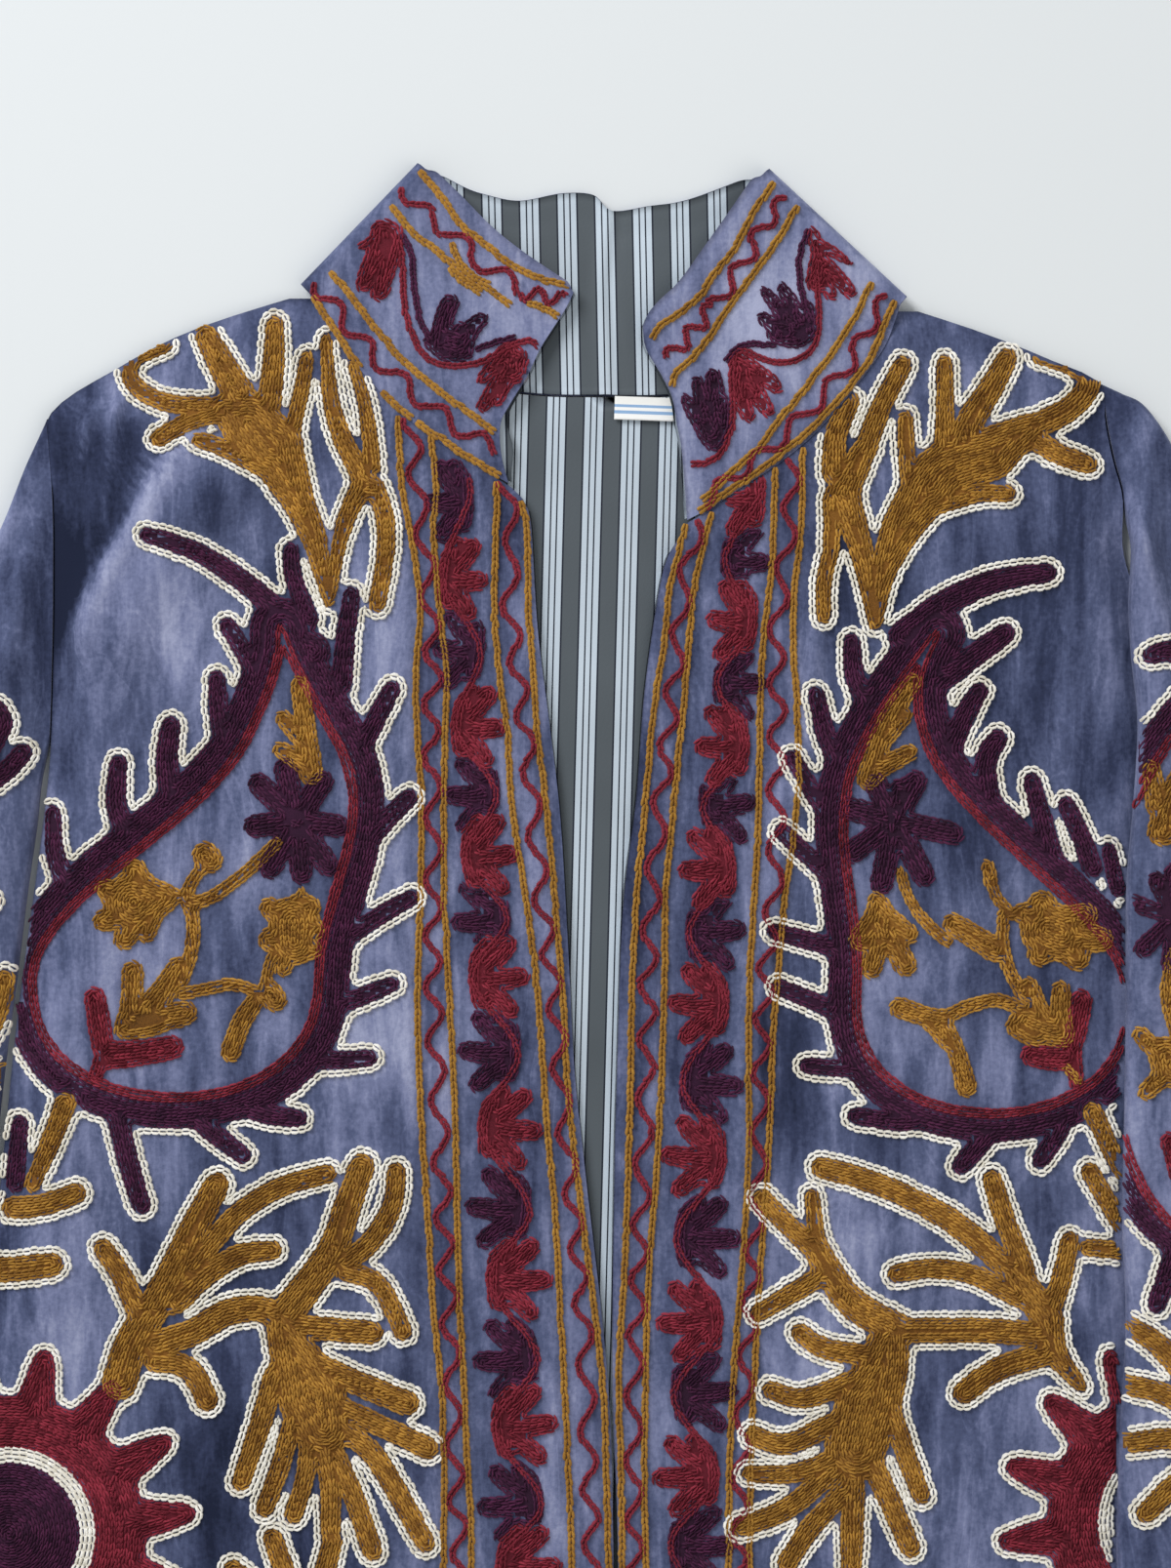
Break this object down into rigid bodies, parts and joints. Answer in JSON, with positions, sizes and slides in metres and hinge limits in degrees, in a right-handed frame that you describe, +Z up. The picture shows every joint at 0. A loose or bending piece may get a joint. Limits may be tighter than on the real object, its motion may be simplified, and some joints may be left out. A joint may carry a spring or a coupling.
{
  "type": "jacket",
  "caption": "Hip-length velvet jacket with a stand collar and open front, lined in striped cotton, laid flat on its back with its sleeves down.",
  "frame": {"origin": "centre of the laid-out jacket's outline, on the surface that it lies on", "axes": "+X across the jacket, to the right of the picture, which is the wearer's left; +Y towards the collar; +Z up from the surface"},
  "size_m": [0.7274, 0.7016, 0.0175],
  "materials": {
    "velvet": "slate lavender cotton velvet, napped, with wool chain-stitch embroidery",
    "striped_lining": "smooth grey cotton with groups of three white stripes",
    "label_tape": "white woven tape, bare"
  },
  "bodies": {
    "root": {"back": "velvet", "back_lining": "striped_lining", "right_front": "velvet", "left_front": "velvet", "right_facing": "striped_lining", "left_facing": "striped_lining", "collar": "velvet", "collar_lining": "striped_lining", "right_sleeve": "velvet", "left_sleeve": "velvet", "label": "label_tape"}
  },
  "joints": []
}
